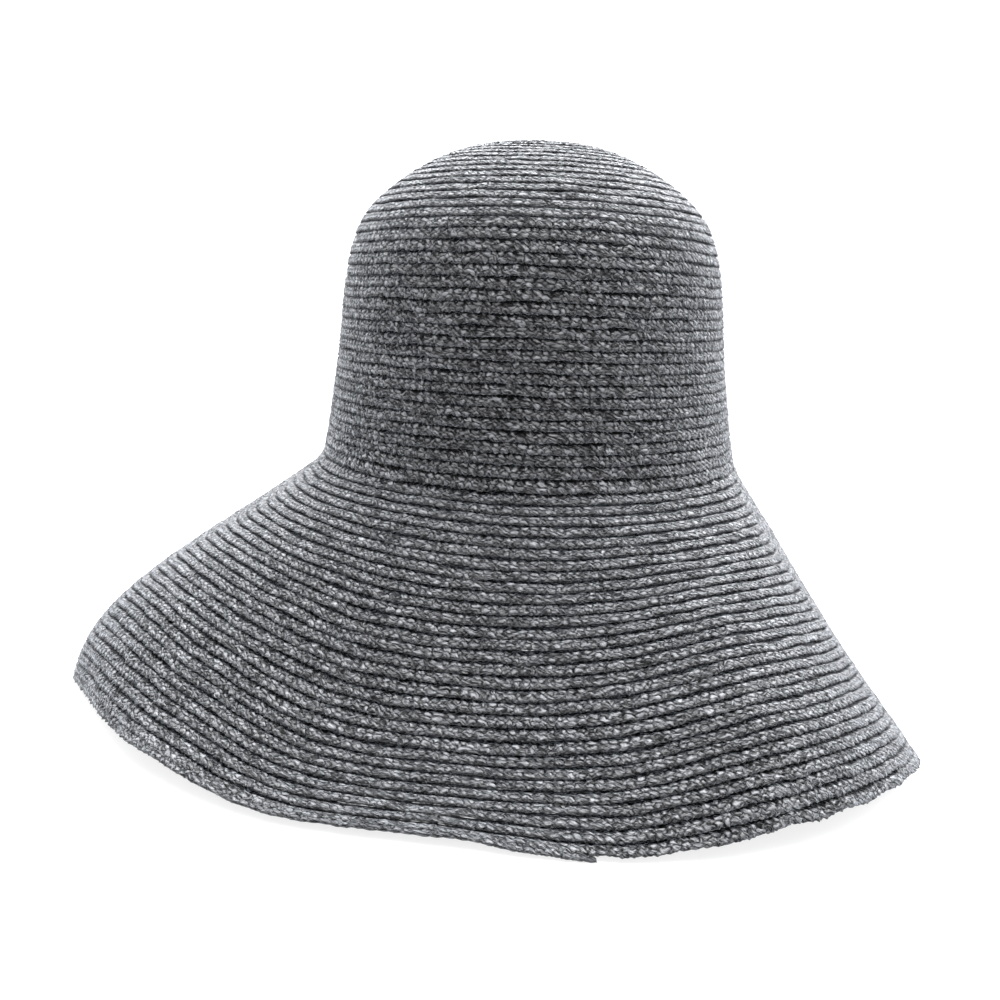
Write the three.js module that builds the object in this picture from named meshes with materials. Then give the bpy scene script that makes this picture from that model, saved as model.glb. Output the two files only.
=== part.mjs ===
import * as THREE from "three";

// A wide-brimmed sun hat of plaited straw braid, standing crown up on its rim.
// Lengths are in millimetres and angles in degrees. +Z is up and the hat's front faces -Y.
// A direction is counted in plan from +X (0) through +Y (90, the back).
// A turn is one row of the spiral braid, counted from the middle of the crown's top.

const wallThickness = 2.2;
const pieceGap = 0.3;
const columnCount = 72;

const crownTurns = 43;
const brimTurns = 30;
const tipTurns = 10;
const edgeTurns = 2;

// The crown's place over the rim. It is a little longer than wide, as a head is, and leans
// by these slopes to the right and to the back, so a minus sign is to the left and the front.
const crown = {
  oval: 0.067,
  longDirection: 90,
  baseHeight: 104,
  shiftRight: 9,
  shiftBack: 13,
  leanRight: -0.045,
  leanBack: -0.05,
};

// Half section of the crown: radius over the middle, and rise over its base.
const crownSection = [
  { radius: 0, rise: 132 },
  { radius: 14, rise: 132 },
  { radius: 30, rise: 129.5 },
  { radius: 47.5, rise: 123 },
  { radius: 64.5, rise: 112.5 },
  { radius: 76, rise: 101 },
  { radius: 81.5, rise: 88.5 },
  { radius: 84.5, rise: 73 },
  { radius: 86, rise: 57 },
  { radius: 87.5, rise: 41 },
  { radius: 89.5, rise: 26 },
  { radius: 91.5, rise: 12 },
  { radius: 94, rise: 0 },
];

// The brim, one row for each direction: how far the rim reaches from the middle, how high its
// underside hangs over the floor, and how steeply the brim falls at the crown and at the rim.
const brimFall = [
  { direction: -180, reach: 177, lift: 0, rootSlope: 49, edgeSlope: 80 },
  { direction: -155, reach: 171, lift: 10, rootSlope: 46, edgeSlope: 79 },
  { direction: -130, reach: 180, lift: 8, rootSlope: 40, edgeSlope: 38 },
  { direction: -112, reach: 187, lift: 2, rootSlope: 38, edgeSlope: 17 },
  { direction: -94, reach: 185, lift: 2, rootSlope: 42, edgeSlope: 10 },
  { direction: -76, reach: 194, lift: 0, rootSlope: 40, edgeSlope: 38 },
  { direction: -58, reach: 195, lift: 8, rootSlope: 41, edgeSlope: 64 },
  { direction: -35, reach: 187, lift: 9, rootSlope: 45, edgeSlope: 50 },
  { direction: -10, reach: 176, lift: 0, rootSlope: 60, edgeSlope: 49 },
  { direction: 20, reach: 180, lift: 0, rootSlope: 42, edgeSlope: 50 },
  { direction: 60, reach: 192, lift: 0, rootSlope: 36, edgeSlope: 46 },
  { direction: 100, reach: 198, lift: 4, rootSlope: 34, edgeSlope: 42 },
  { direction: 140, reach: 192, lift: 8, rootSlope: 34, edgeSlope: 48 },
  { direction: 165, reach: 183, lift: 1, rootSlope: 41, edgeSlope: 69 },
];

// How far the soft fold between crown and brim reaches up the wall and out on the brim.
const foldWall = 4;
const foldBrim = 7;

const charcoal = new THREE.MeshStandardMaterial({ color: 0x4b4b50, roughness: 0.75, name: "straw" });

const degrees = Math.PI / 180;

/** A row of the brim table counted round and round, with its direction carried on past 180. */
function brimRow(index, key) {
  const count = brimFall.length;
  const laps = Math.floor(index / count);
  const row = brimFall[index - laps * count];
  return { at: row.direction + 360 * laps, value: row[key] };
}

/** One column of the brim table at any direction, smooth all the way round. */
function brimValue(key, direction) {
  const turned = (((direction + 180) % 360) + 360) % 360 - 180;
  let first = brimFall.length - 1;
  while (brimFall[first].direction > turned) {
    first -= 1;
  }
  const [a, b, c, d] = [-1, 0, 1, 2].map((offset) => brimRow(first + offset, key));
  const span = c.at - b.at;
  const share = (turned - b.at) / span;
  const slopeB = (span * (c.value - a.value)) / (c.at - a.at);
  const slopeC = (span * (d.value - b.value)) / (d.at - b.at);
  const square = share * share;
  const cube = square * share;
  return (2 * cube - 3 * square + 1) * b.value + (cube - 2 * square + share) * slopeB
    + (3 * square - 2 * cube) * c.value + (cube - square) * slopeC;
}

const sectionCurve = new THREE.SplineCurve(
  crownSection.map((row) => new THREE.Vector2(row.radius, row.rise)),
);
sectionCurve.arcLengthDivisions = 600;
const crownPitch = sectionCurve.getLength() / crownTurns;

/** A point of the crown's outer face, at a share (0 at the top, 1 at the base) of its section. */
function crownPoint(share, direction) {
  const section = sectionCurve.getPointAt(Math.min(Math.max(share, 0), 1));
  const angle = direction * degrees;
  const spread = 1 + crown.oval * Math.cos(2 * (direction - crown.longDirection) * degrees);
  const right = section.x * spread * Math.cos(angle);
  const back = section.x * spread * Math.sin(angle);
  return new THREE.Vector3(
    crown.shiftRight + right + crown.leanRight * section.y,
    crown.shiftBack + back + crown.leanBack * section.y,
    crown.baseHeight + section.y - crown.leanRight * right - crown.leanBack * back,
  );
}

/** The line down the brim's outer face in one direction, and the fold that leads into it. */
function makeColumn(direction) {
  const angle = direction * degrees;
  const outward = new THREE.Vector3(Math.cos(angle), Math.sin(angle), 0);
  const falling = (slope, length) => outward.clone()
    .multiplyScalar(Math.cos(slope * degrees) * length)
    .setZ(-Math.sin(slope * degrees) * length);
  const edgeSlope = brimValue("edgeSlope", direction);
  const underside = wallThickness * Math.cos(edgeSlope * degrees);
  const base = crownPoint(1, direction);
  const rim = outward.clone().multiplyScalar(brimValue("reach", direction))
    .setZ(Math.max(brimValue("lift", direction), 0) + underside);
  const handle = base.distanceTo(rim) / 3;
  const brimCurve = new THREE.CubicBezierCurve3(
    base,
    base.clone().add(falling(brimValue("rootSlope", direction), handle)),
    rim.clone().sub(falling(edgeSlope, handle)),
    rim,
  );
  const brimLength = brimCurve.getLength();
  const foldStart = crownPoint(1 - foldWall / (crownTurns * crownPitch), direction);
  const foldEnd = brimCurve.getPointAt(foldBrim / brimLength);
  const fold = new THREE.QuadraticBezierCurve3(foldStart, base, foldEnd);
  return { brimCurve, brimLength, fold };
}

const columnCache = new Map();

function columnAt(direction) {
  if (!columnCache.has(direction)) {
    columnCache.set(direction, makeColumn(direction));
  }
  return columnCache.get(direction);
}

/** A point of the outer face at a turn of the spiral and a direction. */
function outerPoint(turn, direction) {
  const column = columnAt(direction);
  const beforeBase = (crownTurns - turn) * crownPitch;
  const afterBase = ((turn - crownTurns) / brimTurns) * column.brimLength;
  if (beforeBase >= foldWall) {
    return crownPoint(turn / crownTurns, direction);
  }
  if (afterBase >= foldBrim) {
    return column.brimCurve.getPointAt(Math.min(afterBase / column.brimLength, 1));
  }
  const share = turn < crownTurns
    ? 0.5 * (1 - beforeBase / foldWall)
    : 0.5 * (1 + afterBase / foldBrim);
  return column.fold.getPoint(share);
}

/** The outward normal of the outer face. */
function outerNormal(turn, direction) {
  const turnStep = 0.25;
  const directionStep = 1;
  const lastTurn = crownTurns + brimTurns;
  if (turn < turnStep) {
    return new THREE.Vector3(crown.leanRight, crown.leanBack, 1).normalize();
  }
  const down = outerPoint(Math.min(turn + turnStep, lastTurn), direction)
    .sub(outerPoint(turn - turnStep, direction));
  const around = outerPoint(turn, direction + directionStep)
    .sub(outerPoint(turn, direction - directionStep));
  return down.cross(around).normalize();
}

/** The matching point of the inner face, never below the floor. */
function innerPoint(turn, direction) {
  const point = outerPoint(turn, direction);
  point.addScaledVector(outerNormal(turn, direction), -wallThickness);
  point.z = Math.max(point.z, 0);
  return point;
}

/** One closed wall with a ring of corners on both faces at each of the given turns. */
function makeWall(name, turns) {
  const corners = [];
  const triangles = [];
  const makeRings = (facePoint) => turns.map((turn) => {
    const count = turn === 0 ? 1 : columnCount;
    return Array.from({ length: count }, (_, column) => {
      corners.push(facePoint(turn, (360 / columnCount) * column - 180));
      return corners.length - 1;
    });
  });
  const outer = makeRings(outerPoint);
  const inner = makeRings(innerPoint);
  const addBand = (upper, lower, facesOut) => {
    const add = (a, b, c) => triangles.push(a, facesOut ? b : c, facesOut ? c : b);
    for (let column = 0; column < columnCount; column += 1) {
      const next = (column + 1) % columnCount;
      add(upper[column % upper.length], lower[column], lower[next]);
      if (upper.length > 1) {
        add(upper[column], lower[next], upper[next]);
      }
    }
  };
  const last = turns.length - 1;
  for (let ring = 0; ring < last; ring += 1) {
    addBand(outer[ring], outer[ring + 1], true);
    addBand(inner[ring], inner[ring + 1], false);
  }
  addBand(outer[last], inner[last], true);
  if (turns[0] > 0) {
    addBand(outer[0], inner[0], false);
  }
  const geometry = new THREE.BufferGeometry();
  const coordinates = corners.flatMap((corner) => corner.toArray());
  geometry.setAttribute("position", new THREE.Float32BufferAttribute(coordinates, 3));
  geometry.setIndex(triangles);
  geometry.computeVertexNormals();
  const mesh = new THREE.Mesh(geometry, charcoal);
  mesh.name = name;
  return mesh;
}

/** Turn numbers from first to last in equal steps. */
function spread(first, last, steps) {
  return Array.from({ length: steps + 1 }, (_, step) => first + ((last - first) * step) / steps);
}

const halfGap = pieceGap / 2 / crownPitch;
const flatTurns = crownSection[1].radius / crownPitch;
const edgeStart = crownTurns + brimTurns - edgeTurns;

const hat = new THREE.Group();
hat.name = "sun_hat";
hat.add(makeWall("crown_tip", [0, ...spread(flatTurns, tipTurns - halfGap, 3)]));
hat.add(makeWall("crown_side", [
  ...spread(tipTurns + halfGap, crownTurns - 1, 11),
  crownTurns - halfGap,
]));
hat.add(makeWall("brim", [
  crownTurns + halfGap,
  crownTurns + 0.7,
  crownTurns + 1.6,
  ...spread(crownTurns + 3.5, edgeStart - halfGap, 9),
]));
hat.add(makeWall("brim_edge", spread(edgeStart + halfGap, crownTurns + brimTurns, 2)));

// The origin is on the floor, under the middle of the hat's box.
const middle = new THREE.Box3().setFromObject(hat).getCenter(new THREE.Vector3());
for (const piece of hat.children) {
  piece.geometry.translate(-middle.x, -middle.y, 0);
}

export default hat;
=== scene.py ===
# %% [markdown]
# # A sun hat sewn from one long straw braid
# The real hat is a single flat braid of dyed straw, plaited first and then sewn in a spiral:
# it starts at the middle of the crown, each turn laps a little over the next one, and it ends
# at the rim. Everything the eye sees is that braid, so this lesson makes one braid and lays it
# along one spiral. First the fixed model is loaded, because its walls say where the straw lies.

# %% Load the fixed model
import math
import bpy
import numpy as np
from mathutils import Matrix, Vector


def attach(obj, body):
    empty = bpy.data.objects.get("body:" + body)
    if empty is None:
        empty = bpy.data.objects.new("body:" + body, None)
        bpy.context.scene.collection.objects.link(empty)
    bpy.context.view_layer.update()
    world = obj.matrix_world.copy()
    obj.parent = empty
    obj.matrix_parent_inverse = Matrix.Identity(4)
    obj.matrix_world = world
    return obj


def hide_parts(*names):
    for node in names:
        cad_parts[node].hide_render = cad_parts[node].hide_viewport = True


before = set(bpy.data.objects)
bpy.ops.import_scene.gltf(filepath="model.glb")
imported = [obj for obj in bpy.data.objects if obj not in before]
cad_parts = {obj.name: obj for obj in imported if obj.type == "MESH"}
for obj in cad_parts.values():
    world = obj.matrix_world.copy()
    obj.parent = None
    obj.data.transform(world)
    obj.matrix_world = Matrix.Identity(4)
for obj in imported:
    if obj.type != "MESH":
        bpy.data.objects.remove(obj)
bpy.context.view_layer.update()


# %% [markdown]
# ## The camera
# The photo looks at the hat's front from just over the brim. The hat was measured in it by
# perspective: the braid's rows are ellipses whose shape gives the camera's height and distance.
# The picture is also turned a little clockwise. A camera is easiest to aim with its own three
# axes as the columns of a matrix, because the turn is then plain to read.

# %% Aim the camera
photo_focal = 1473.0
photo_width = 1000.0
sensor_width = 36.0
camera_place = Vector((-0.00057, -0.62544, 0.1613))
camera_down = 0.1203
camera_turn = 0.074
nearest_seen = 0.01
farthest_seen = 50.0

look = Vector((0.0, math.cos(camera_down), -math.sin(camera_down)))
level_right = Vector((1.0, 0.0, 0.0))
level_up = level_right.cross(look)
right = level_right * math.cos(camera_turn) + level_up * math.sin(camera_turn)
up = level_up * math.cos(camera_turn) - level_right * math.sin(camera_turn)

camera_data = bpy.data.cameras.new("photo_camera")
camera_data.sensor_width = sensor_width
camera_data.lens = photo_focal / photo_width * sensor_width
camera_data.clip_start = nearest_seen
camera_data.clip_end = farthest_seen
camera = bpy.data.objects.new("photo_camera", camera_data)
bpy.context.scene.collection.objects.link(camera)
turned = Matrix((right, up, -look)).transposed()
camera.matrix_world = Matrix.Translation(camera_place) @ turned.to_4x4()
bpy.context.scene.camera = camera
print("lens in mm:", round(camera_data.lens, 2))

# %% [markdown]
# ## The hat's own sizes
# The braid follows the hat's outer face, so the face is worked out here from the same named
# sizes as the fixed model: a half section for the crown, and a table of the brim's fall in each
# direction. Reading points off the loaded walls would also work, but those walls are faceted,
# and a formula stays smooth between the facets. Lengths are in millimetres until the very end.

# %% Named sizes of crown and brim
metre = 1000.0
wall_thickness = 2.2
crown_turns = 43
brim_turns = 30
rim_turn = crown_turns + brim_turns
fold_wall = 4.0
fold_brim = 7.0
middle_shift = np.array([1.10, -4.04, 0.0])

crown = {
    "oval": 0.067,
    "long_direction": 90.0,
    "base_height": 104.0,
    "shift_right": 9.0,
    "shift_back": 13.0,
    "lean_right": -0.045,
    "lean_back": -0.05,
}

# radius over the middle, rise over the crown's base
crown_section = np.array([
    (0.0, 132.0),
    (14.0, 132.0),
    (30.0, 129.5),
    (47.5, 123.0),
    (64.5, 112.5),
    (76.0, 101.0),
    (81.5, 88.5),
    (84.5, 73.0),
    (86.0, 57.0),
    (87.5, 41.0),
    (89.5, 26.0),
    (91.5, 12.0),
    (94.0, 0.0),
])

# direction, reach of the rim, lift of its underside, slope at the crown, slope at the rim
# (millimetres and degrees, with direction 0 at the right and 90 at the back)
brim_columns = ("direction", "reach", "lift", "root_slope", "edge_slope")
brim_fall = dict(zip(brim_columns, np.array([
    (-180, 177, 0, 49, 80),
    (-155, 171, 10, 46, 79),
    (-130, 180, 8, 40, 38),
    (-112, 187, 2, 38, 17),
    (-94, 185, 2, 42, 10),
    (-76, 194, 0, 40, 38),
    (-58, 195, 8, 41, 64),
    (-35, 187, 9, 45, 50),
    (-10, 176, 0, 60, 49),
    (20, 180, 0, 42, 50),
    (60, 192, 0, 36, 46),
    (100, 198, 4, 34, 42),
    (140, 192, 8, 34, 48),
    (165, 183, 1, 41, 69),
], dtype=float).T))
print("brim table directions:", brim_fall["direction"].astype(int).tolist())


# %% Smooth curves through the tables
def around_the_hat(column, direction):
    """A column of the brim table at any direction.

    Between two rows b and c it is the cubic whose slopes there are those of the straight lines
    from the row before b to c, and from b to the row after c.
    """
    at = brim_fall["direction"]
    value = brim_fall[column]
    count = len(at)
    turned = (direction + 180.0) % 360.0 - 180.0
    before = np.searchsorted(at, turned, side="right") - 1

    def row(index):
        """A row counted round and round: its direction, carried on past 180, and its value."""
        return at[index % count] + 360.0 * (index // count), value[index % count]

    (at_a, a), (at_b, b), (at_c, c), (at_d, d) = (row(before + step) for step in (-1, 0, 1, 2))
    span = at_c - at_b
    t = (turned - at_b) / span
    slope_b = span * (c - a) / (at_c - at_a)
    slope_c = span * (d - b) / (at_d - at_b)
    return ((2 * t**3 - 3 * t**2 + 1) * b + (t**3 - 2 * t**2 + t) * slope_b
            + (3 * t**2 - 2 * t**3) * c + (t**3 - t**2) * slope_c)


def smooth_section(rows, pieces=60):
    """Points of the uniform Catmull-Rom curve through the rows, whose ends are repeated."""
    padded = np.vstack([rows[:1], rows, rows[-1:]])
    t = np.linspace(0.0, 1.0, pieces, endpoint=False)[None, :, None]
    a, b, c, d = (padded[k:k + len(rows) - 1, None, :] for k in range(4))
    bent = (b + 0.5 * (c - a) * t + (a - 2.5 * b + 2 * c - 0.5 * d) * t**2
            + (1.5 * b - 0.5 * a - 1.5 * c + 0.5 * d) * t**3)
    return np.vstack([bent.reshape(-1, 2), rows[-1:]])


def run_length(points):
    """The length along a line of points, from its first one."""
    steps = np.linalg.norm(np.diff(points, axis=0), axis=1)
    return np.concatenate([[0.0], np.cumsum(steps)])


section = smooth_section(crown_section)
section_length = run_length(section)
crown_pitch = section_length[-1] / crown_turns
print("one row on the crown in mm:", round(float(crown_pitch), 3))


# %% The crown's outer face
def crown_face(share, direction):
    """A point of the crown at a share of its half section, 0 at the top and 1 at the base.

    The radius grows by the oval share towards the long direction. The level disc is then
    shifted and sheared by the two leans.
    """
    length = np.clip(share, 0.0, 1.0) * section_length[-1]
    radius = np.interp(length, section_length, section[:, 0])
    rise = np.interp(length, section_length, section[:, 1])
    angle = np.radians(direction)
    away = angle - math.radians(crown["long_direction"])
    spread = radius * (1.0 + crown["oval"] * np.cos(2.0 * away))
    to_right = spread * np.cos(angle)
    to_back = spread * np.sin(angle)
    return np.stack([
        crown["shift_right"] + to_right + crown["lean_right"] * rise,
        crown["shift_back"] + to_back + crown["lean_back"] * rise,
        crown["base_height"] + rise - crown["lean_right"] * to_right - crown["lean_back"] * to_back,
    ], axis=-1)


# %% The brim's outer face, one curve for each direction
brim_samples = 161


def bezier(corners, t):
    """A Bezier curve of 3 or 4 corners, each with a last axis of x, y, z, at the shares t."""
    t = t[..., None]
    if len(corners) == 3:
        a, b, c = corners
        return (1 - t)**2 * a + 2 * t * (1 - t) * b + t**2 * c
    a, b, c, d = corners
    return (1 - t)**3 * a + 3 * t * (1 - t)**2 * b + 3 * t**2 * (1 - t) * c + t**3 * d


def hat_columns(directions, turns):
    """The outer face over a grid of turns (rows) and directions (columns), in millimetres.

    The crown is followed down to the base. The brim falls from there on a cubic whose handles
    are a third of the way to the rim, along the two slopes. A quadratic rounds the fold.
    Past the rim the face goes straight on.
    """
    angle = np.radians(directions)
    outward = np.stack([np.cos(angle), np.sin(angle), 0 * angle], axis=-1)
    down = np.array([0.0, 0.0, -1.0])
    root = np.radians(around_the_hat("root_slope", directions))[:, None]
    edge = np.radians(around_the_hat("edge_slope", directions))[:, None]
    base = crown_face(np.ones_like(directions), directions)
    rim = outward * around_the_hat("reach", directions)[:, None]
    lift = np.maximum(around_the_hat("lift", directions), 0.0)
    rim[:, 2] = lift + wall_thickness * np.cos(edge[:, 0])
    handle = np.linalg.norm(rim - base, axis=1, keepdims=True) / 3.0
    corners = (
        base,
        base + handle * (outward * np.cos(root) + down * np.sin(root)),
        rim - handle * (outward * np.cos(edge) + down * np.sin(edge)),
        rim,
    )
    t = np.linspace(0.0, 1.0, brim_samples)
    fine = bezier([corner[:, None, :] for corner in corners], np.tile(t, (len(directions), 1)))
    gone = np.cumsum(np.linalg.norm(np.diff(fine, axis=1), axis=2), axis=1)
    gone = np.concatenate([np.zeros((len(directions), 1)), gone], axis=1)
    brim_length = gone[:, -1]
    after_base = np.maximum(turns[:, None] - crown_turns, 0.0) / brim_turns * brim_length
    shares = np.stack([
        np.interp(after_base[:, k], gone[k], t) for k in range(len(directions))
    ], axis=1)
    face = bezier(corners, shares)
    past_rim = np.maximum(turns - rim_turn, 0.0)[:, None, None]
    row_on_brim = (brim_length / brim_turns)[:, None]
    face += past_rim * row_on_brim * (outward * np.cos(edge) + down * np.sin(edge))

    on_crown = turns < crown_turns
    wide, tall = np.meshgrid(directions, turns[on_crown] / crown_turns)
    face[on_crown] = crown_face(tall, wide)

    fold_start = crown_face(1.0 - fold_wall / section_length[-1], directions)
    fold_share = np.array([np.interp(fold_brim, gone[k], t) for k in range(len(directions))])
    fold_end = bezier(corners, fold_share)
    before_base = np.maximum(crown_turns - turns[:, None], 0.0) * crown_pitch + 0 * after_base
    along = np.where(on_crown[:, None], 0.5 * (1 - before_base / fold_wall),
                     0.5 * (1 + after_base / fold_brim))
    inside = (before_base < fold_wall) & (after_base < fold_brim)
    rounded = bezier((fold_start, base, fold_end), np.clip(along, 0.0, 1.0))
    return np.where(inside[..., None], rounded, face) + middle_shift


# %% A fine table of the face, read with a smooth curve both ways
turn_step = 0.2
direction_step = 1.5
turns_past_rim = 2.0
table_turns = np.arange(0.0, rim_turn + turns_past_rim, turn_step)
table_directions = np.arange(0.0, 360.0, direction_step)
face_table = hat_columns(table_directions, table_turns)
slope_down = np.gradient(face_table, axis=0)
slope_round = np.roll(face_table, -1, axis=1) - np.roll(face_table, 1, axis=1)
normal_table = np.cross(slope_down, slope_round)
flat_row = int(round(1.0 / turn_step))
normal_table[:flat_row] = normal_table[flat_row].mean(axis=0)
normal_table /= np.linalg.norm(normal_table, axis=2, keepdims=True)


def cubic_weights(t):
    """Catmull-Rom weights of the four neighbours of a place t between the second and third."""
    return (-0.5 * t + t**2 - 0.5 * t**3, 1 - 2.5 * t**2 + 1.5 * t**3,
            0.5 * t + 2 * t**2 - 1.5 * t**3, 0.5 * (t**3 - t**2))


def read_table(table, turn, direction):
    """The table's value at any turn and direction: a sum over 4 by 4 neighbours."""
    down = np.clip(turn / turn_step, 0.0, len(table_turns) - 1.001)
    round_it = (direction % 360.0) / direction_step
    i = np.floor(down).astype(int)
    j = np.floor(round_it).astype(int)
    total = 0.0
    for a, weight_a in enumerate(cubic_weights(down - i)):
        near_i = np.clip(i + a - 1, 0, len(table_turns) - 1)
        for b, weight_b in enumerate(cubic_weights(round_it - j)):
            near_j = (j + b - 1) % len(table_directions)
            total = total + (weight_a * weight_b)[..., None] * table[near_i, near_j]
    return total


highest = float(face_table[..., 2].max())
print("face table:", face_table.shape, "highest point in mm:", round(highest, 2))

# %% [markdown]
# ## Rows that hang lower at the sides
# The crown is oval, and a braid is as wide at its sides as at its front. So there are more rows
# down the flatter sides than a plain spiral gives, and in the photo the rows droop there. A
# small table says by how many rows the spiral is moved down the same face, which stays as it is.

# %% The drop of the rows
# row, drop in rows everywhere, more at both sides and less at front and back, more at the left
drop_columns = ("row", "everywhere", "sides", "left")
row_drop = dict(zip(drop_columns, np.array([
    (0, 0.00, 0.00, 0.00),
    (8, 0.10, 0.35, 0.00),
    (14, 0.15, 0.50, 0.00),
    (20, 0.30, 0.56, 0.02),
    (24, 0.48, 0.40, 0.05),
    (28, 0.44, 0.25, 0.10),
    (32, 0.24, 0.20, 0.14),
    (36, 0.00, 0.10, 0.08),
    (41, -0.26, 0.02, 0.04),
    (44, -0.12, -0.20, 0.02),
    (50, 0.00, -0.14, -0.04),
    (56, 0.00, 0.12, 0.02),
    (60, 0.00, 0.08, 0.04),
    (65, -0.04, -0.28, 0.04),
    (70, -0.10, -0.02, 0.06),
    (rim_turn, 0.00, 0.00, 0.00),
]).T))


def dropped(row, direction):
    """The row plus its drop: everywhere + sides * cos(2 * direction) - left * cos(direction)."""
    everywhere, sides, left = (
        np.interp(row, row_drop["row"], row_drop[column]) for column in drop_columns[1:])
    angle = np.radians(direction)
    return row + everywhere + sides * np.cos(2.0 * angle) - left * np.cos(angle)


print("largest drop in rows:", round(float((row_drop["everywhere"] + row_drop["sides"]).max()), 2))

# %% [markdown]
# ## The spiral
# One number says where a place on the braid is: how many turns it has gone round. Its direction
# is the fraction of that number, and its row is the number itself, so the spiral is a straight
# line in turns and directions. On the real hat the braid ends near the front, where its tail is
# tucked under, so the last turn closes up on the one above.

# %% Lay out the spiral's lower edge
spiral_start = 0.36
spiral_end = 73.780
spiral_lag = 0.01
spiral_step = 0.004
last_turn_slack = 0.55
measured_above_edge = 0.3


def lower_edge(spiral):
    """The row of the braid's lower edge: the turns gone, less a share of the last turn squared."""
    over = np.clip(spiral - (spiral_end - 1.0), 0.0, None)
    return spiral - spiral_lag - last_turn_slack * over**2


fine_spiral = np.arange(spiral_start, spiral_end + spiral_step, spiral_step)
fine_row = dropped(lower_edge(fine_spiral) - measured_above_edge, 360.0 * fine_spiral)
fine_line = read_table(face_table, fine_row, 360.0 * fine_spiral)
fine_length = run_length(fine_line)
print("braid's length in metres:", round(float(fine_length[-1]) / metre, 2))

# %% [markdown]
# ## The plait
# The braid is plaited from flat strands. A strand swings from edge to edge and turns back there,
# so its path is a sine wave, and strands that go down cross over and under those that come up.
# That needs no strand to be modelled one by one. Stretching the width so that the sine waves
# become straight lines turns the plait into a plain chequered weave, whose height is a short
# formula. On this hat the strands that fall to the right show longest, as slanting lozenges, so
# they lie a little higher than the others. The same formula shapes the mesh coarsely and, later,
# the finish finely, so both agree.

# %% The plait's height as a formula
plait_repeat = 3.8
plait_strands = 3.6
columns_per_repeat = 4
mesh_rise = 0.5
mesh_round = 0.4
mesh_lead = 0.15
mesh_floor = 0.1


def plait_height(repeat, across):
    """Height from -1 to 1 at a place: repeats along the braid, and a share of its width.

    The width is stretched by the arc cosine. Family a counts repeats less stretched width, and
    family b their sum. Each family rises and sinks as a sine along the other one's count, with
    a round crown over its own strand. Family a lies higher by twice the lead, which lengthens
    its lozenges. The higher family is the one that is seen.
    """
    stretched = plait_strands / math.pi * np.arccos(np.clip(1 - 2 * across, -1.0, 1.0))
    a = repeat - stretched
    b = repeat + stretched
    rise_a = np.sin(math.pi * b) * (1 - 2 * (np.floor(a) % 2))
    rise_b = -np.sin(math.pi * a) * (1 - 2 * (np.floor(b) % 2))
    high_a = mesh_rise * rise_a + mesh_round * np.sin(math.pi * (a % 1)) + mesh_lead
    high_b = mesh_rise * rise_b + mesh_round * np.sin(math.pi * (b % 1)) - mesh_lead
    return 2.0 * np.maximum(np.maximum(high_a, high_b), mesh_floor) - 1.0


# %% Hand-made unevenness
# amount, wavelength in millimetres, seed
unevenness = {
    "repeat, slow": (0.45, 21.0, 11),
    "repeat, quick": (0.16, 7.0, 12),
    "edge, slow": (0.07, 13.0, 21),
    "edge, quick": (0.06, 4.6, 22),
    "vigour": (0.45, 3.1, 23),
    "lift, slow": (0.10, 17.0, 24),
    "lift, quick": (0.10, 6.0, 25),
}
wander_spread = 0.6


def wander(kind, length):
    """A smooth random line: its amount times Catmull-Rom through seeded values at even steps."""
    amount, wavelength, seed = unevenness[kind]
    place = length / wavelength
    count = int(np.max(place)) + 5
    values = np.random.default_rng(seed).normal(0.0, wander_spread, count)
    i = np.floor(place).astype(int)
    line = sum(weight * values[i + k] for k, weight in enumerate(cubic_weights(place - i)))
    return amount * line


fine_repeat = fine_length / plait_repeat + wander("repeat, slow", fine_length)
fine_repeat += wander("repeat, quick", fine_length)
fine_repeat = np.maximum.accumulate(fine_repeat)
print("plait repeats:", int(fine_repeat[-1]))

# %% [markdown]
# ## The braid as a mesh
# A cut through the braid is a flat loop: its upper edge lies hidden under the row above, and its
# lower edge stands proud, which throws the dark line under each row. Carrying that loop along
# the spiral gives a closed ribbon. The loop is a short table: where each corner lies across the
# braid, how far it stands over the hat's face, how much deeper it lies on the brim, how much of
# the plait's relief it takes, and whether it lies on the outer or the inner face.

# %% The loop that is carried along
braid_width = 1.34
braid_loop = dict(zip(("across", "stand", "on_brim", "relief", "face"), np.array([
    (0.02, -1.55, 0.00, 0.0, 0),
    (0.25, -0.90, -0.50, 0.6, 0),
    (0.37, -0.32, -0.42, 1.2, 0),
    (0.50, -0.02, -0.04, 1.0, 0),
    (0.66, 0.05, 0.00, 1.0, 0),
    (0.82, 0.08, 0.00, 1.0, 0),
    (0.95, 0.02, 0.00, 1.0, 0),
    (1.00, -0.35, -0.10, 0.6, 0),
    (0.90, -1.00, 0.00, 0.0, 1),
    (0.06, -2.05, 0.00, 0.0, 1),
], dtype=float).T))
corner_count = len(braid_loop["across"])
relief_depth = 0.26
least_vigour = 0.5
most_vigour = 1.5
edge_scallop = 0.17
scallop_from = 0.8
knob_seed = 31
knob_limit = 2.0
knob_depth = 0.12
knob_shift = 0.04
tail_length = 14.0
tail_width = 0.45
tail_tuck = 0.5
fold_rows = 3.0
fold_rows_above = 1.0
innermost_row = 0.02
above_floor = 0.05

ring_total = int(fine_repeat[-1] * columns_per_repeat) + 2
knobs = np.random.default_rng(knob_seed).normal(size=(ring_total, corner_count))
knobs = knobs.clip(-knob_limit, knob_limit)
print("corners in a ring:", corner_count, "rings in all:", ring_total)


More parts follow.
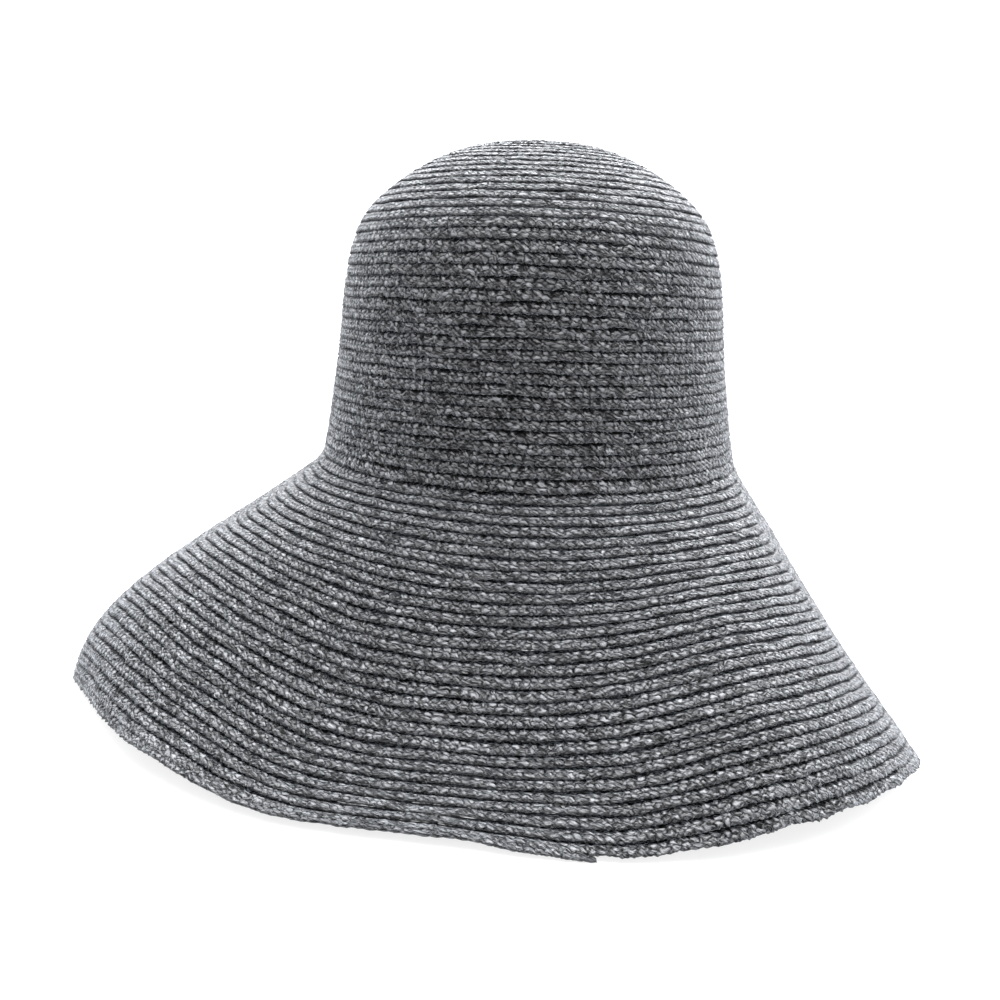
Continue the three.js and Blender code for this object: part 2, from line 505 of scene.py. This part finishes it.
# %% Place the rings
def braid_rings(steps, spiral, length, repeat):
    """All corners of the ribbon, one ring of the loop for each place along the spiral.

    Row = lower edge + wander - (1 - across) * width, with a scallop where strands turn back.
    Height = stand + brim share * on brim + lift + relief * (plait + knobs), along the hat's
    outward normal. The brim share goes from 0 to 1 over three rows at the crown's base. The
    tail narrows and sinks over its last few millimetres.
    """
    across = braid_loop["across"][None, :]
    relief = braid_loop["relief"]
    tail = np.clip((fine_length[-1] - length[:, None]) / tail_length, 0.0, 1.0)
    tail = tail * tail * (3 - 2 * tail)
    width = braid_width * (tail_width + (1 - tail_width) * tail)
    plait = plait_height(repeat[:, None], across)
    vigour = np.clip(1.0 + wander("vigour", length)[:, None], least_vigour, most_vigour)
    edge_wander = wander("edge, slow", length) + wander("edge, quick", length)
    lift = wander("lift, slow", length) + wander("lift, quick", length)
    near_edge = np.clip((across - scallop_from) / (1 - scallop_from), 0.0, 1.0)
    scallop = edge_scallop * plait * vigour * near_edge
    row = lower_edge(spiral)[:, None] + edge_wander[:, None] - (1 - across) * width + scallop
    row += knob_shift * relief * knobs[steps]
    past_fold = spiral[:, None] - crown_turns + fold_rows_above
    brim_share = np.clip(past_fold / fold_rows, 0.0, 1.0)
    stand = braid_loop["stand"] + brim_share * braid_loop["on_brim"] + lift[:, None]
    stand = stand - tail_tuck * (1 - tail)
    stand += relief * (relief_depth * plait * vigour + knob_depth * knobs[steps])
    direction = 360.0 * spiral[:, None] + 0 * across
    row = dropped(np.maximum(row, innermost_row), direction)
    place = read_table(face_table, row, direction)
    place += stand[..., None] * read_table(normal_table, row, direction)
    place[..., 2] = np.maximum(place[..., 2], above_floor)
    return place


# %% Turn rings into a closed mesh
def sew_braid(name, first, last):
    """One piece of the ribbon between two spiral numbers, as a closed mesh with its own map.

    The map's first number counts plait repeats. Its second goes 0 to 1 over the outer face,
    and on to 2 over the inner one.
    """
    ends = np.interp([first, last], fine_spiral, fine_repeat) * columns_per_repeat
    steps = np.arange(round(float(ends[0])), round(float(ends[1])) + 1)
    repeat = steps / columns_per_repeat
    length = np.interp(repeat, fine_repeat, fine_length)
    spiral = np.interp(repeat, fine_repeat, fine_spiral)
    corners = braid_rings(steps, spiral, length, repeat)
    rings = len(steps)

    ring, side = np.meshgrid(np.arange(rings - 1), np.arange(corner_count), indexing="ij")
    after = (side + 1) % corner_count
    quads = np.stack([ring * corner_count + side, ring * corner_count + after,
                      (ring + 1) * corner_count + after, (ring + 1) * corner_count + side], axis=-1)
    first_cap = np.arange(corner_count)[::-1]
    last_cap = (rings - 1) * corner_count + np.arange(corner_count)
    loops = np.concatenate([quads.reshape(-1), first_cap, last_cap]).astype(np.int32)
    faces = quads.shape[0] * quads.shape[1] + 2
    starts = np.concatenate([np.arange(faces - 2) * 4,
                             [(faces - 2) * 4, (faces - 2) * 4 + corner_count]]).astype(np.int32)

    mesh = bpy.data.meshes.new(name)
    mesh.vertices.add(corners.shape[0] * corner_count)
    mesh.vertices.foreach_set("co", (corners / metre).astype(np.float32).reshape(-1))
    mesh.loops.add(len(loops))
    mesh.loops.foreach_set("vertex_index", loops)
    mesh.polygons.add(faces)
    mesh.polygons.foreach_set("loop_start", starts)
    mesh.update(calc_edges=True)
    mesh.validate()

    down_map = np.where(braid_loop["face"] > 0, 2 - braid_loop["across"], braid_loop["across"])
    down_next = np.roll(down_map, -1)
    down_next[-1] = 2.0
    along = np.repeat(repeat[:-1, None], corner_count, axis=1)
    along_next = np.repeat(repeat[1:, None], corner_count, axis=1)
    upper = np.broadcast_to(down_map, along.shape)
    lower = np.broadcast_to(down_next, along.shape)
    four = ((along, upper), (along, lower), (along_next, lower), (along_next, upper))
    quad_map = np.stack([np.stack(corner, axis=-1) for corner in four], axis=2)
    first_map = np.stack([np.full(corner_count, repeat[0]), down_map[::-1]], axis=-1)
    last_map = np.stack([np.full(corner_count, repeat[-1]), down_map], axis=-1)
    layer = mesh.uv_layers.new(name="plait")
    every = np.concatenate([quad_map.reshape(-1, 2), first_map, last_map]).astype(np.float32)
    layer.data.foreach_set("uv", every.reshape(-1))

    mesh.polygons.foreach_set("use_smooth", np.ones(faces, dtype=bool))
    edge_of_loop = np.empty(len(loops), dtype=np.int32)
    mesh.loops.foreach_get("edge_index", edge_of_loop)
    sharp = np.zeros(len(mesh.edges), dtype=bool)
    sharp[edge_of_loop[-2 * corner_count:]] = True
    marks = mesh.attributes.new("sharp_edge", "BOOLEAN", "EDGE")
    marks.data.foreach_set("value", sharp)

    piece = bpy.data.objects.new(name, mesh)
    bpy.context.scene.collection.objects.link(piece)
    triangles = 2 * (faces - 2) + 2 * (corner_count - 2)
    print(name, "rings", rings, "triangles", triangles)
    return piece, triangles


# %% [markdown]
# ## Shader sums in plain Python
# A material is a sum of many small nodes, which are hard to read as wires. A small class wraps
# a socket, so that a + b or 1 - a adds the right Math node, and the plait's formula can be
# written almost as it was for the mesh.

# %% A wire that can be added and multiplied
class Wire:
    """One output of a node, ready for sums."""

    def __init__(self, sheet, socket):
        self.sheet = sheet
        self.socket = socket

    def math(self, operation, *values):
        """A Math node whose first value is this wire."""
        return self.sheet.math(operation, self, *values)

    def __add__(self, other):
        return self.sheet.math("ADD", self, other)

    def __radd__(self, other):
        return self.sheet.math("ADD", other, self)

    def __sub__(self, other):
        return self.sheet.math("SUBTRACT", self, other)

    def __rsub__(self, other):
        return self.sheet.math("SUBTRACT", other, self)

    def __mul__(self, other):
        return self.sheet.math("MULTIPLY", self, other)

    def __rmul__(self, other):
        return self.sheet.math("MULTIPLY", other, self)


class Sheet:
    """The node sheet of one material, or of the world."""

    def __init__(self, owner):
        self.owner = owner
        self.owner.use_nodes = True
        self.tree = self.owner.node_tree
        self.tree.nodes.clear()

    def node(self, kind, settings=None, inputs=None):
        """Add one node: its settings first, then a value or a wire for each named input."""
        made = self.tree.nodes.new(kind)
        for key, value in (settings or {}).items():
            setattr(made, key, value)
        for key, value in (inputs or {}).items():
            if isinstance(value, Wire):
                self.tree.links.new(value.socket, made.inputs[key])
            else:
                made.inputs[key].default_value = value
        return made

    def wire(self, kind, output, settings=None, inputs=None):
        """Add one node and give one of its outputs as a wire."""
        return Wire(self, self.node(kind, settings, inputs).outputs[output])

    def math(self, operation, *values):
        """A Math node on wires and numbers."""
        return self.wire("ShaderNodeMath", 0, {"operation": operation}, dict(enumerate(values)))

    def blend(self, share, a, b):
        """A number that goes from a to b as the share goes from 0 to 1."""
        return self.wire("ShaderNodeMix", 0, {"data_type": "FLOAT"}, {0: share, 2: a, 3: b})

    def range(self, value, low, high, to_low, to_high):
        """A smooth step of a value from one range to another."""
        return self.wire("ShaderNodeMapRange", 0, {"interpolation_type": "SMOOTHSTEP"},
                         {0: value, 1: low, 2: high, 3: to_low, 4: to_high})

    def vector(self, x, y, z):
        """Three wires or numbers as one vector."""
        return self.wire("ShaderNodeCombineXYZ", 0, None, {0: x, 1: y, 2: z})


print("shader helpers ready")

# %% [markdown]
# ## Dyed straw
# The straw is dyed a cool charcoal. Painted shade makes it nearly black where two strands cross
# and where a row dips under the one above. Each strand has its own shade, and pale strokes run
# along it, where the straw is smooth and mirrors the light: they are the straw's fibres and also
# a painted highlight in its colour. Between them it is worn and matt, so the finish is a mix of
# two straws. At a glancing angle the strokes run together and a faint cool sheen shows, so the hat
# looks pale and even at its edges. The plait's formula gives the height for the bump and the
# number of the strand on top for its shade, and the strokes follow the strand because their noise
# is stretched along it.

# %% The plait's height once more, as nodes
finish_fineness = 1.15
loose_stretch = (0.9, 2.4)
loose_share = 1.1
strand_rise = 0.38
strand_round = 0.45
strand_own = 0.25
strand_lead = 0.22
crossing_softness = 0.22
valley_height = 0.1
nearly_one = 0.9999


def of_its_own(sheet, name):
    """A random number for each strand."""
    return sheet.wire("ShaderNodeTexWhiteNoise", 0, {"noise_dimensions": "1D"}, {"W": name})


def woven_strands(sheet, repeat, across, down):
    """The mesh's plait formula in nodes, with every strand a little loose in its place.

    It gives the height, and where a point lies on the strand that is on top: its share of the
    strand's width, how far along the strand, and the strand's number.
    """
    stretch_along, stretch_down = loose_stretch
    loose = sheet.vector(repeat * stretch_along, down * stretch_down, 0.0)
    loose = sheet.wire("ShaderNodeTexNoise", 1, {"noise_dimensions": "2D"},
                       {"Vector": loose, "Scale": 1.0, "Detail": 1.0})
    loose = sheet.node("ShaderNodeSeparateColor", None, {0: loose})
    shift_a = (Wire(sheet, loose.outputs[0]) - 0.5) * loose_share
    shift_b = (Wire(sheet, loose.outputs[1]) - 0.5) * loose_share

    turned = (1.0 - 2.0 * across).math("MINIMUM", nearly_one).math("MAXIMUM", -nearly_one)
    stretched = turned.math("ARCCOSINE") * (finish_fineness * plait_strands / math.pi)
    a = repeat - stretched + shift_a
    b = repeat + stretched + shift_b
    count_a = a.math("FLOOR")
    count_b = b.math("FLOOR")
    share_a = a - count_a
    share_b = b - count_b
    sign_a = 1.0 - 2.0 * count_a.math("FLOORED_MODULO", 2.0)
    sign_b = 2.0 * count_b.math("FLOORED_MODULO", 2.0) - 1.0
    rise_a = (b * math.pi).math("SINE") * sign_a
    rise_b = (a * math.pi).math("SINE") * sign_b
    round_a = (share_a * math.pi).math("SINE")
    round_b = (share_b * math.pi).math("SINE")
    own_a = of_its_own(sheet, count_a + 0.1)
    own_b = of_its_own(sheet, count_b + 0.6)
    high_a = strand_rise * rise_a + strand_round * round_a + strand_own * own_a + strand_lead
    high_b = strand_rise * rise_b + strand_round * round_b + strand_own * own_b - strand_lead
    height = high_a.math("SMOOTH_MAX", high_b, crossing_softness)
    height = height.math("SMOOTH_MAX", valley_height, valley_height)

    b_on_top = (high_b - high_a).math("GREATER_THAN", 0.0)
    strand_share = sheet.blend(b_on_top, share_a, share_b)
    strand_along = sheet.blend(b_on_top, b, a)
    strand_name = sheet.blend(b_on_top, count_a, count_b + 0.37)
    return height, strand_share, strand_along, strand_name


# %% The straw's finish
grain_stretch = (2.1, 0.7, 3.7)
patch_scale = 26.0
groove_by_height = 0.30
groove_by_grain = 0.12
level_height = 0.75
stroke_by_grain = 1.10
stroke_by_shade = 0.35
glancing_stroke = 0.85
glancing_bared = 0.35
bump_depth = 0.00085
bump_by_height = 0.75
bump_by_grain = 0.50
dark_dye = (0.034, 0.034, 0.036, 1.0)
pale_dye = (0.042, 0.043, 0.046, 1.0)
cool_sheen = (0.84, 0.90, 1.0, 1.0)

# smooth steps of a value: from low to high, and what it becomes there
# this step also sets how pale the painted highlight along the strokes is
grain_step = (0.34, 0.66, 0.0, 1.0)
# the next three steps darken the colour as painted shade
painted_hollow_shade_step = (0.30, 1.00, 0.18, 1.12)
upper_painted_groove_shade_step = (0.33, 0.66, 0.03, 1.05)
lower_painted_groove_shade_step = (0.92, 1.10, 1.00, 0.50)
glancing_step = (0.45, 0.90, 0.0, 0.80)


def straw_finish():
    """Dark dyed straw with pale strokes, by the plait's height, the grain and the row's edges.

    Tone = strand's shade * streaks * soft patches * seen. The streaks are the straw's fibres and a
    painted highlight: they make the colour pale along each stroke. Seen is painted shade: darker in
    the hollows between strands, just under the row above and under the row's own lower edge.
    Smooth straw shows where a stroke is bared, and worn straw everywhere else; the painted shade
    takes the smooth straw away as well.
    """
    sheet = Sheet(bpy.data.materials.new("charcoal_straw"))
    spot = sheet.node("ShaderNodeUVMap", {"uv_map": "plait"})
    spot = sheet.node("ShaderNodeSeparateXYZ", None, {0: Wire(sheet, spot.outputs[0])})
    repeat = Wire(sheet, spot.outputs[0]) * finish_fineness
    down = Wire(sheet, spot.outputs[1])
    across = 1.0 - (down - 1.0).math("ABSOLUTE")
    height, strand_share, strand_along, strand_name = woven_strands(sheet, repeat, across, down)
    shade = of_its_own(sheet, strand_name)

    wide, long, apart = grain_stretch
    on_strand = sheet.vector(strand_share * wide, strand_along * long, strand_name * apart)
    # streak noise along the strand: fibres in the straw, and a painted highlight where it makes the
    # colour pale
    grain_and_glint = sheet.wire("ShaderNodeTexNoise", 0, {"noise_dimensions": "3D"},
                       {"Vector": on_strand, "Scale": 1.0, "Detail": 2.0, "Roughness": 0.65})
    grain_and_glint = sheet.range(grain_and_glint, *grain_step)
    place = sheet.wire("ShaderNodeTexCoord", "Object")
    patch = sheet.wire("ShaderNodeTexNoise", 0, {"noise_dimensions": "3D"},
                       {"Vector": place, "Scale": patch_scale, "Detail": 2.0})

    # painted shade: the colour darkens where the plait is low, between and under the strands
    painted_hollow_shade = sheet.range(height, *painted_hollow_shade_step)
    # painted shade: darker just under the row above and under the row's own lower edge
    ragged = across + groove_by_height * (height - level_height) + groove_by_grain * (grain_and_glint - 0.5)
    painted_groove_shade = sheet.range(ragged, *upper_painted_groove_shade_step) * sheet.range(ragged, *lower_painted_groove_shade_step)
    # seen is the whole painted shade, which both the colour and the gloss take
    seen = painted_hollow_shade * painted_groove_shade
    # the colour: strand shade and patches are the straw's own tone, the streaks add painted
    # highlight as well as fibres, and seen adds painted shade
    tone_and_painted_light = (0.50 + 1.0 * shade) * (0.20 + 1.6 * grain_and_glint) * (0.80 + 0.40 * patch) * seen
    dye = sheet.wire("ShaderNodeMix", 2, {"data_type": "RGBA"},
                     {0: shade, 6: dark_dye, 7: pale_dye})
    colour = sheet.wire("ShaderNodeVectorMath", 0, {"operation": "SCALE"}, {0: dye, "Scale": tone_and_painted_light})

    facing = sheet.wire("ShaderNodeLayerWeight", "Facing", None, {"Blend": 0.5})
    glancing = sheet.range(facing, *glancing_step)
    strokes = stroke_by_grain * grain_and_glint + stroke_by_shade * shade
    strokes = sheet.blend(glancing, strokes, glancing_stroke)
    # the painted shade also takes the smooth straw away in the hollows and at the row edges
    bared = sheet.blend(glancing, seen, glancing_bared + (1.0 - glancing_bared) * seen)
    matt = 1.0 - (bared * strokes).math("MINIMUM", 1.0)
    relief = bump_by_height * height + bump_by_grain * grain_and_glint
    bump = sheet.wire("ShaderNodeBump", 0, None,
                      {"Strength": 1.0, "Distance": bump_depth, "Height": relief})

    def straw(rough, gloss, sheen):
        """Dyed straw: its roughness, how strongly it mirrors, and its cool sheen."""
        return sheet.wire("ShaderNodeBsdfPrincipled", 0, None,
                          {"Base Color": colour, "Roughness": rough, "Normal": bump, "IOR": 1.45,
                           "Specular IOR Level": gloss, "Sheen Weight": sheen,
                           "Sheen Roughness": 0.15, "Sheen Tint": cool_sheen})

    smooth_straw = straw(0.34 + 0.10 * grain_and_glint, 0.95, 0.50)
    worn_straw = straw(0.70, 0.05, 0.30)
    mixed = sheet.wire("ShaderNodeMixShader", 0, None, {0: matt, 1: smooth_straw, 2: worn_straw})
    sheet.node("ShaderNodeOutputMaterial", None, {0: mixed})
    return sheet.owner


straw_material = straw_finish()
print("straw nodes:", len(straw_material.node_tree.nodes))

# %% [markdown]
# ## Sew the hat
# The long ribbon is cut where the fixed model's parts meet, and again where a piece would grow
# too heavy to handle. Each piece takes the place of the plain wall behind it.

# %% Cut the braid into its pieces
braid_pieces = [
    {"name": "tip_braid", "last": 10.0, "stands_for": "crown_tip"},
    {"name": "side_braid_upper", "last": 28.0, "stands_for": "crown_side"},
    {"name": "side_braid_lower", "last": 43.0, "stands_for": "crown_side"},
    {"name": "brim_braid_inner", "last": 54.0, "stands_for": "brim"},
    {"name": "brim_braid_middle", "last": 63.0, "stands_for": "brim"},
    {"name": "brim_braid_outer", "last": 71.0, "stands_for": "brim"},
    {"name": "edge_braid", "last": spiral_end, "stands_for": "brim_edge"},
]
piece_start = spiral_start
all_triangles = 0
for cut in braid_pieces:
    piece, triangles = sew_braid(cut["name"], piece_start, cut["last"])
    piece.data.materials.append(straw_material)
    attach(piece, "root")
    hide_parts(cut["stands_for"])
    piece_start = cut["last"]
    all_triangles += triangles
print("triangles in all:", all_triangles)

# %% [markdown]
# ## Stray straws
# Short ends of straw have worked loose here and there, as on any plaited hat. Each is a thin
# three-sided rod that starts inside the braid, rises a little and bends over. They are all made
# at once, as one array of straws by rings by corners.

# %% Loose ends of straw
stray_count = 120
stray_rings = 6
stray_sides = 3
stray_seed = 41
stray_radius = 0.15
stray_taper = 0.55
stray_depth = 0.25
stray_sway = 0.3
stray_colour = (0.10, 0.10, 0.11, 1.0)

# least and most: turns of the spiral, rows above its edge, radians, millimetres, shares
stray_ranges = {
    "spiral": (4.0, spiral_end - 0.3),
    "above edge": (0.15, 0.75),
    "slant": (-0.9, 0.9),
    "length": (1.8, 5.5),
    "rise": (0.5, 1.3),
    "bend": (1.2, 2.8),
    "sway": (-0.9, 0.9),
}


def stray_straws():
    """Thin bent rods, as an array of rods by rings by corners by x, y, z.

    Place at a share s = root + length * s along a slanted way, + length * sway * s squared to
    one side, + rise * sin(s * bend) - depth outwards. Three corners stand round it.
    """
    random = np.random.default_rng(stray_seed)

    def draw(kind):
        """One random number for each straw, even over its range."""
        return random.uniform(*stray_ranges[kind], stray_count)

    spiral = draw("spiral")
    row = dropped(lower_edge(spiral) - draw("above edge"), 360.0 * spiral)
    direction = 360.0 * spiral
    root = read_table(face_table, row, direction)
    out = read_table(normal_table, row, direction)
    out /= np.linalg.norm(out, axis=1, keepdims=True)
    along = read_table(face_table, row, direction + 1.0) - root
    along /= np.linalg.norm(along, axis=1, keepdims=True)
    fall = np.cross(along, out)
    slant = draw("slant") + math.pi * random.integers(0, 2, stray_count)
    way = along * np.cos(slant)[:, None] + fall * np.sin(slant)[:, None]
    side = np.cross(way, out)
    long = draw("length")[:, None, None]
    rise = draw("rise")[:, None, None]
    bend = draw("bend")[:, None, None]
    sway = draw("sway")[:, None, None]
    s = np.linspace(0.0, 1.0, stray_rings)[None, :, None]
    middle = (root[:, None] + long * s * way[:, None]
              + long * stray_sway * sway * s**2 * side[:, None]
              + (rise * np.sin(s * bend) - stray_depth) * out[:, None])
    thick = stray_radius * (1.0 - stray_taper * s)[..., None]
    turn = np.arange(stray_sides)[:, None] * (2.0 * math.pi / stray_sides)
    ring = np.cos(turn) * out[:, None, None] + np.sin(turn) * side[:, None, None]
    corners = middle[:, :, None] + thick * ring
    corners[..., 2] = np.maximum(corners[..., 2], above_floor)
    return corners


def rod_mesh(name, corners):
    """Closed three-sided rods from an array of rods by rings by corners."""
    rods, rings, sides = corners.shape[:3]
    rod, ring, side = np.meshgrid(
        np.arange(rods), np.arange(rings - 1), np.arange(sides), indexing="ij")
    first = (rod * rings + ring) * sides
    after = (side + 1) % sides
    quads = np.stack(
        [first + side, first + after, first + sides + after, first + sides + side], axis=-1)
    starts = np.arange(rods)[:, None] * rings * sides
    root_caps = starts + np.arange(sides)[::-1]
    tip_caps = starts + (rings - 1) * sides + np.arange(sides)
    mesh = bpy.data.meshes.new(name)
    faces = quads.reshape(-1, 4).tolist() + root_caps.tolist() + tip_caps.tolist()
    mesh.from_pydata((corners.reshape(-1, 3) / metre).tolist(), [], faces)
    mesh.validate()
    rod_object = bpy.data.objects.new(name, mesh)
    bpy.context.scene.collection.objects.link(rod_object)
    return rod_object


def loose_finish():
    """The material of the loose ends: a paler straw, plain and a little shiny."""
    sheet = Sheet(bpy.data.materials.new("loose_straw"))
    shiny = sheet.node("ShaderNodeBsdfPrincipled", None,
                       {"Base Color": stray_colour, "Roughness": 0.45})
    sheet.node("ShaderNodeOutputMaterial", None, {0: Wire(sheet, shiny.outputs[0])})
    return sheet.owner


strays = rod_mesh("stray_straws", stray_straws())
strays.data.materials.append(loose_finish())
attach(strays, "root")
print("stray straws:", stray_count, "faces:", len(strays.data.polygons))

# %% [markdown]
# ## Floor and light
# The photo was taken in a white tent that is brightest overhead, so there is hardly a shadow on
# the ground, while every straw is bright on its upper side and dark on its lower one. A world
# that is white all round, and much brighter above and a little behind, gives that with no lamp.
# The floor glows a little too, as a light table does, which leaves only a trace of shadow.

# %% A pale floor
floor_half = 12.0
floor_grey = (0.24, 0.24, 0.24, 1.0)
floor_glow = 0.80


def plain_floor(half):
    """One large square at height zero, with a matt finish that glows a little."""
    mesh = bpy.data.meshes.new("floor")
    corners = [(-half, -half, 0.0), (half, -half, 0.0), (half, half, 0.0), (-half, half, 0.0)]
    mesh.from_pydata(corners, [], [(0, 1, 2, 3)])
    floor = bpy.data.objects.new("floor", mesh)
    bpy.context.scene.collection.objects.link(floor)
    sheet = Sheet(bpy.data.materials.new("pale_floor"))
    matt = sheet.node("ShaderNodeBsdfPrincipled", None,
                      {"Base Color": floor_grey, "Roughness": 0.9,
                       "Emission Color": (1.0, 1.0, 1.0, 1.0), "Emission Strength": floor_glow})
    sheet.node("ShaderNodeOutputMaterial", None, {0: Wire(sheet, matt.outputs[0])})
    mesh.materials.append(sheet.owner)


plain_floor(floor_half)
print("floor laid, metres wide:", 2 * floor_half)

# %% The white tent
tent_all_round = 2.05
tent_brightest = 9.6
towards_brightest = (0.16, 0.38, 0.91)
tent_step = (0.45, 0.95, 0.0, tent_brightest)
tent_white = (0.97, 0.98, 1.0, 1.0)


def white_tent():
    """World light = all round + brightest * smooth step of the cosine to the brightest place."""
    world = bpy.data.worlds.new("white_tent")
    sheet = Sheet(world)
    direction = sheet.wire("ShaderNodeTexCoord", "Generated")
    cosine = sheet.wire("ShaderNodeVectorMath", "Value", {"operation": "DOT_PRODUCT"},
                        {0: direction, 1: towards_brightest})
    strength = tent_all_round + sheet.range(cosine, *tent_step)
    tent = sheet.wire("ShaderNodeBackground", 0, None,
                      {"Color": tent_white, "Strength": strength})
    sheet.node("ShaderNodeOutputWorld", None, {0: tent})
    return world


bpy.context.scene.world = white_tent()
bpy.context.scene.view_settings.view_transform = "Standard"
print("tent:", tent_all_round, "all round and", tent_brightest, "more towards", towards_brightest)
